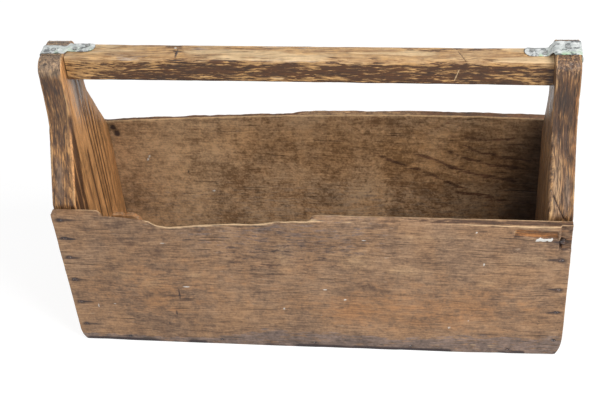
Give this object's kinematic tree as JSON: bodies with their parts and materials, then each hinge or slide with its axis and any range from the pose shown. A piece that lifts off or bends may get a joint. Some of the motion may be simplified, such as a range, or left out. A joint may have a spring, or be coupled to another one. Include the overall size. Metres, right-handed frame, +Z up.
{
  "type": "wooden tool box",
  "caption": "Open carpenter's tote of nailed boards with flared end boards, a broken front edge and a fixed strapped handle rail, for carrying hand tools.",
  "frame": {"origin": "middle of the underside, on the surface that the box stands on", "axes": "+X along the box to its right, +Y from the broken front board to the back board, +Z up"},
  "size_m": [0.6144, 0.192, 0.3892],
  "materials": {
    "end_wood": "old bare pine, worn and oiled by use",
    "side_wood": "old bare pine, weathered and stained",
    "bottom_wood": "dark soiled pine",
    "rail_wood": "hand polished, dark grime in the grain",
    "galvanised_sheet": "dull zinc with stains",
    "iron_nail": "dark rusty iron"
  },
  "bodies": {
    "root": {"left_end_board": "end_wood", "right_end_board": "end_wood", "front_board": "side_wood", "back_board": "side_wood", "bottom_board": "bottom_wood", "handle_rail": "rail_wood", "left_strap": "galvanised_sheet", "right_strap": "galvanised_sheet", "front_left_nails": "iron_nail", "front_right_nails": "iron_nail", "back_left_nails": "iron_nail", "back_right_nails": "iron_nail", "front_bottom_nails": "iron_nail", "back_bottom_nails": "iron_nail", "left_bottom_nails": "iron_nail", "right_bottom_nails": "iron_nail", "left_rail_nails": "iron_nail", "right_rail_nails": "iron_nail", "left_strap_rail_nails": "iron_nail", "right_strap_rail_nails": "iron_nail", "left_strap_top_nail": "iron_nail", "right_strap_top_nail": "iron_nail", "left_strap_leg_nails": "iron_nail", "right_strap_leg_nails": "iron_nail"}
  },
  "joints": []
}
